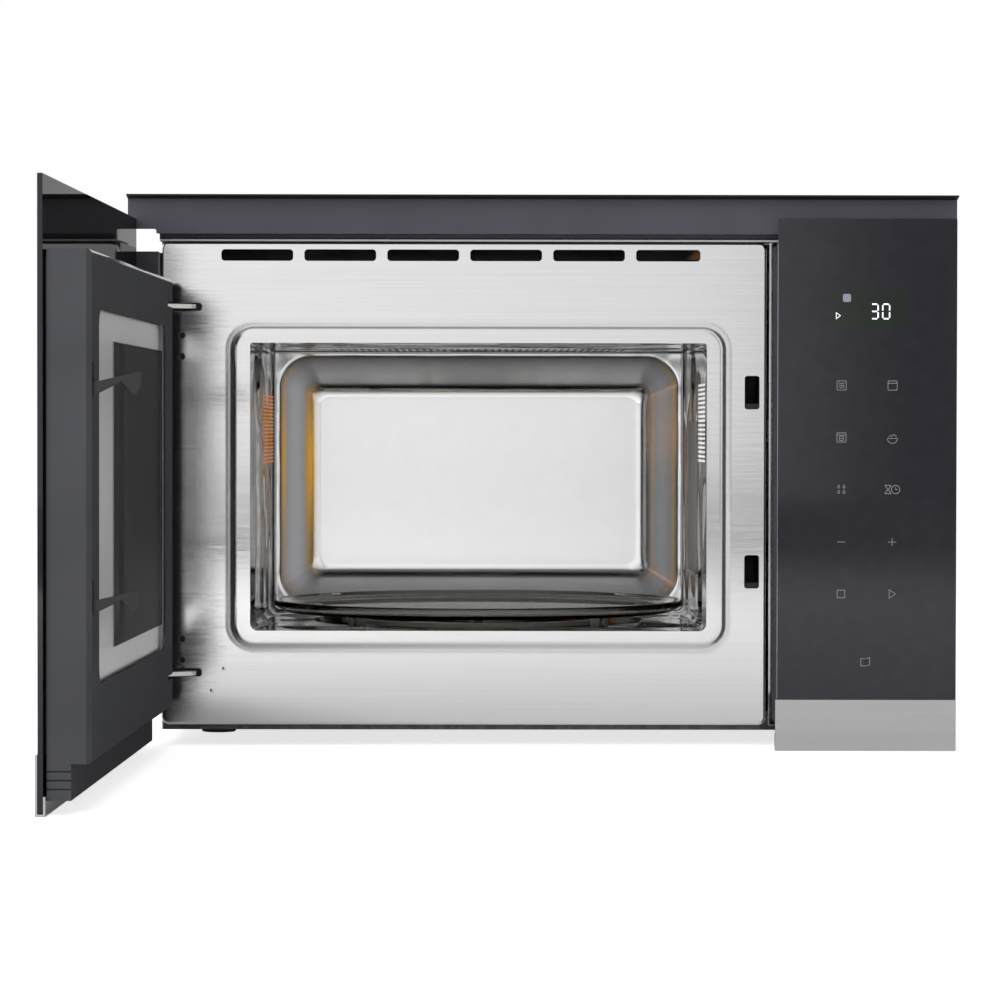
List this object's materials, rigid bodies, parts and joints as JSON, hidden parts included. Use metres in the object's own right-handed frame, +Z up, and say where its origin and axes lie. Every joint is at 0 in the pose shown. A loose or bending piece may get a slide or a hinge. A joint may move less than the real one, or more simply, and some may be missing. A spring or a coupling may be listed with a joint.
{
  "type": "built-in microwave oven",
  "caption": "Built-in microwave oven with a side-hinged glass door standing open, a touch panel, a glass turntable, a grill and flanges for a cabinet niche.",
  "frame": {"origin": "middle of the front, where the face of the cabinet meets the shelf under the feet", "axes": "+X to the right along the front, +Y into the cabinet, +Z up"},
  "size_m": [0.6083, 0.8432, 0.3993],
  "materials": {
    "face_steel": "satin brushed stainless steel, grain along X",
    "oven_steel": "polished stainless steel",
    "mica": "grey mica sheet",
    "zinc_sheet": "zinc coated sheet steel",
    "rail_coat": "dark grey semi-matt coat",
    "strip_steel": "fine brushed stainless steel, grain along X",
    "front_glass": "dark back-printed glass, glossy",
    "inner_glass": "smoked glass, glossy",
    "tray_glass": "clear glass, glossy",
    "dark_plastic": "moulded dark grey plastic",
    "black_plastic": "moulded black plastic",
    "latch_plastic": "moulded dark plastic",
    "ring_plastic": "pale heat-proof plastic",
    "foot_rubber": "black rubber",
    "bond_rubber": "black adhesive seal",
    "hinge_steel": "plain bright steel",
    "screen_black": "black enamelled perforated sheet",
    "magnetron_metal": "aluminium fins in a steel yoke",
    "core_iron": "laminated iron with copper windings",
    "can_aluminium": "drawn aluminium can",
    "board_green": "circuit board laminate",
    "lamp_glass": "warm lit bulb",
    "quartz": "clear quartz",
    "holder_ceramic": "white ceramic"
  },
  "bodies": {
    "body": {"air_duct": "black_plastic", "base_plate": "zinc_sheet", "capacitor": "can_aluminium", "cavity_back": "oven_steel", "cavity_floor": "oven_steel", "cavity_wrap": "oven_steel", "control_board": "board_green", "control_glass": "front_glass", "control_housing": "dark_plastic", "control_strip": "strip_steel", "cord_gland": "black_plastic", "display_module": "black_plastic", "door_switches": "black_plastic", "exhaust_duct": "zinc_sheet", "face_plate": "face_steel", "fan_motor": "core_iron", "fan_shroud": "black_plastic", "feet": "foot_rubber", "flange_left": "rail_coat", "flange_right": "rail_coat", "grill_holders": "holder_ceramic", "grill_reflector": "zinc_sheet", "grill_screen": "oven_steel", "grill_tubes": "quartz", "hinge_arm_lower": "hinge_steel", "hinge_arm_upper": "hinge_steel", "inlet_screen": "oven_steel", "lamp": "lamp_glass", "lamp_housing": "zinc_sheet", "lamp_screen": "oven_steel", "latch_bracket": "latch_plastic", "line_filter": "board_green", "magnetron": "magnetron_metal", "outer_casing": "zinc_sheet", "panel_carrier": "face_steel", "rear_panel": "zinc_sheet", "top_rail": "rail_coat", "touch_board": "board_green", "transformer": "core_iron", "turntable_motor": "can_aluminium", "waveguide": "zinc_sheet", "waveguide_cover": "mica"},
    "door": {"door_glass": "front_glass", "door_strip": "strip_steel", "door_bond": "bond_rubber", "door_frame": "dark_plastic", "door_pane": "inner_glass", "door_screen": "screen_black", "door_plate": "zinc_sheet"},
    "latch": {"latch_hooks": "latch_plastic"},
    "turntable": {"glass_tray": "tray_glass", "drive_coupler": "ring_plastic"},
    "ring": {"roller_ring": "ring_plastic"},
    "wheel_1": {"roller_1": "ring_plastic"},
    "wheel_2": {"roller_2": "ring_plastic"},
    "wheel_3": {"roller_3": "ring_plastic"},
    "fan": {"fan_impeller": "black_plastic"}
  },
  "joints": [
    {"name": "door_swing", "type": "hinge", "parent": "body", "child": "door", "pos_m": [-0.2882, -0.012, 0.181], "axis": [0, 0, 1], "range_deg": [0, 91.4]},
    {"name": "latch_lift", "type": "slide", "parent": "door", "child": "latch", "axis": [0, 0, 1], "range_m": [0, 0.0045], "stiffness_N_per_m": 600, "springref_m": -0.003},
    {"name": "tray_spin", "type": "hinge", "parent": "body", "child": "turntable", "pos_m": [-0.0461, 0.172, 0.0826], "axis": [0, 0, 1], "continuous": true},
    {"name": "ring_spin", "type": "hinge", "parent": "body", "child": "ring", "pos_m": [-0.0461, 0.172, 0.07605], "axis": [0, 0, 1], "continuous": true},
    {"name": "roller_1_spin", "type": "hinge", "parent": "ring", "child": "wheel_1", "pos_m": [-0.0461, 0.277, 0.07605], "axis": [0, 1, 0], "continuous": true},
    {"name": "roller_2_spin", "type": "hinge", "parent": "ring", "child": "wheel_2", "pos_m": [-0.13703, 0.1195, 0.07605], "axis": [-0.866, -0.5, 0], "continuous": true},
    {"name": "roller_3_spin", "type": "hinge", "parent": "ring", "child": "wheel_3", "pos_m": [0.04483, 0.1195, 0.07605], "axis": [0.866, -0.5, 0], "continuous": true},
    {"name": "fan_spin", "type": "hinge", "parent": "body", "child": "fan", "pos_m": [0.2, 0.356, 0.262], "axis": [0, 1, 0], "continuous": true}
  ],
  "couplings": [
    {"joint": "ring_spin", "follows": "tray_spin", "ratio": 0.5},
    {"joint": "roller_1_spin", "follows": "tray_spin", "ratio": -8.0769},
    {"joint": "roller_2_spin", "follows": "tray_spin", "ratio": -8.0769},
    {"joint": "roller_3_spin", "follows": "tray_spin", "ratio": -8.0769}
  ]
}
